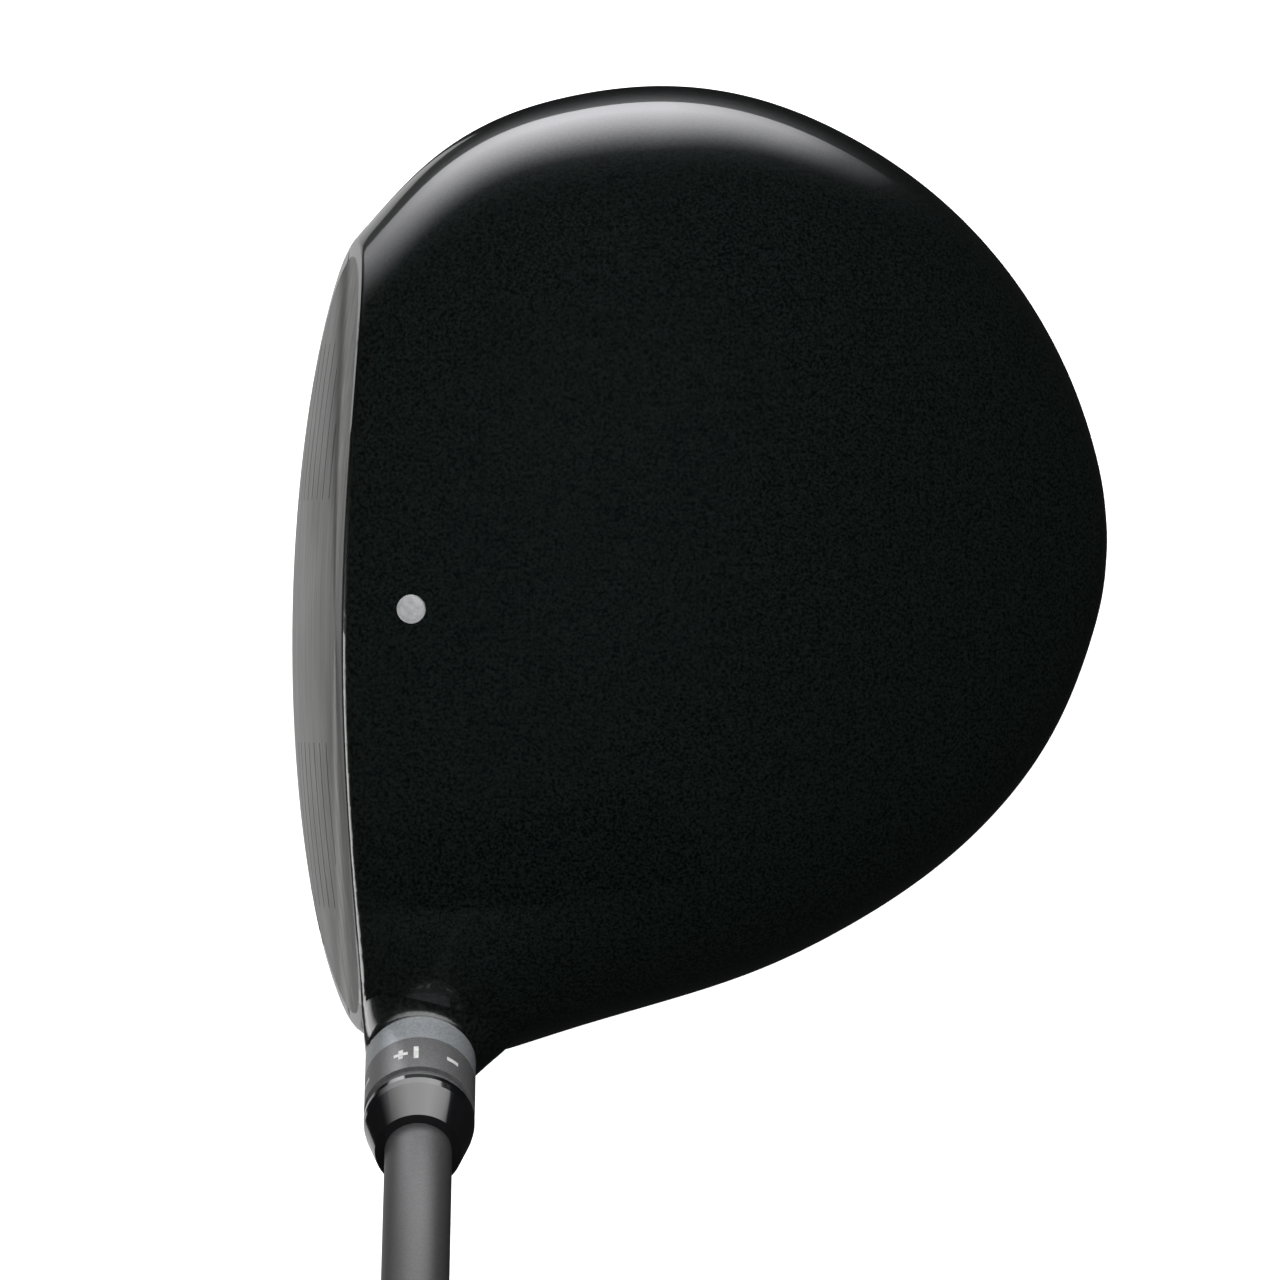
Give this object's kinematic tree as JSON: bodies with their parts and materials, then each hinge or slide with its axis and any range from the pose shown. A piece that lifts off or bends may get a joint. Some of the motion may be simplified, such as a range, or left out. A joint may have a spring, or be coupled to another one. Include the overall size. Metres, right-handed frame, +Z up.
{
  "type": "golf driver",
  "caption": "Adjustable golf driver: gloss black crown, brushed face, loft sleeve with index ring, shaft and rubber grip, rear sole weight.",
  "frame": {"origin": "centre of the flat sole pad, on the ground, with the club at address", "axes": "+Z up; -X out of the face towards the target; +Y towards the toe; the shaft rises towards -Y"},
  "size_m": [0.105, 0.6941, 1.001],
  "materials": {
    "crown_gloss": "gloss",
    "body_paint": "gloss",
    "face_titanium": "satin",
    "dot_silver": "satin",
    "ring_grey": "satin",
    "sleeve_grey": "satin",
    "bare_metal": "satin",
    "ferrule_black": "gloss",
    "shaft_paint": "matte",
    "grip_rubber": "matte",
    "tape": "matte",
    "screw_steel": "satin"
  },
  "bodies": {
    "shaft_assembly": {"shaft": "shaft_paint", "tip_plug": "ferrule_black", "loft_sleeve": "sleeve_grey", "ferrule": "ferrule_black", "grip_tape": "tape", "grip": "grip_rubber", "grip_cap": "grip_rubber"},
    "ring": {"index_ring": "ring_grey"},
    "head": {"head_body": "body_paint", "face_plate": "face_titanium", "crown": "crown_gloss", "alignment_dot": "dot_silver", "spline_insert": "bare_metal", "weight_port": "body_paint", "rib_toe": "bare_metal", "rib_heel": "bare_metal"},
    "washer": {"hosel_washer": "screw_steel"},
    "hosel_screw_body": {"hosel_screw": "screw_steel"},
    "weight": {"rear_weight": "bare_metal"},
    "weight_screw_body": {"rear_weight_screw": "screw_steel"}
  },
  "joints": [
    {"name": "index_turn", "type": "hinge", "parent": "shaft_assembly", "child": "ring", "pos_m": [-0.0232, -0.05996, 0.05004], "axis": [0, -0.5299, 0.848], "continuous": true},
    {"name": "head_release", "type": "slide", "parent": "ring", "child": "head", "axis": [0, 0.5299, -0.848], "range_m": [0, 0.045]},
    {"name": "hosel_washer_travel", "type": "slide", "parent": "head", "child": "washer", "axis": [0, 0.5299, -0.848], "range_m": [0, 0.008]},
    {"name": "hosel_screw_turn", "type": "hinge", "parent": "washer", "child": "hosel_screw_body", "pos_m": [-0.0232, -0.0393, 0.01696], "axis": [0, 0.5299, -0.848], "range_deg": [0, 3600]},
    {"name": "weight_travel", "type": "slide", "parent": "head", "child": "weight", "axis": [0.3746, 0, -0.9272], "range_m": [0, 0.006]},
    {"name": "weight_screw_turn", "type": "hinge", "parent": "weight", "child": "weight_screw_body", "pos_m": [0.042, 0.004, 0.00744], "axis": [0.3746, 0, -0.9272], "range_deg": [0, 2700]}
  ],
  "couplings": [
    {"joint": "hosel_screw_turn", "follows": "hosel_washer_travel", "rad_per_m": 7854},
    {"joint": "weight_screw_turn", "follows": "weight_travel", "rad_per_m": 7854}
  ]
}
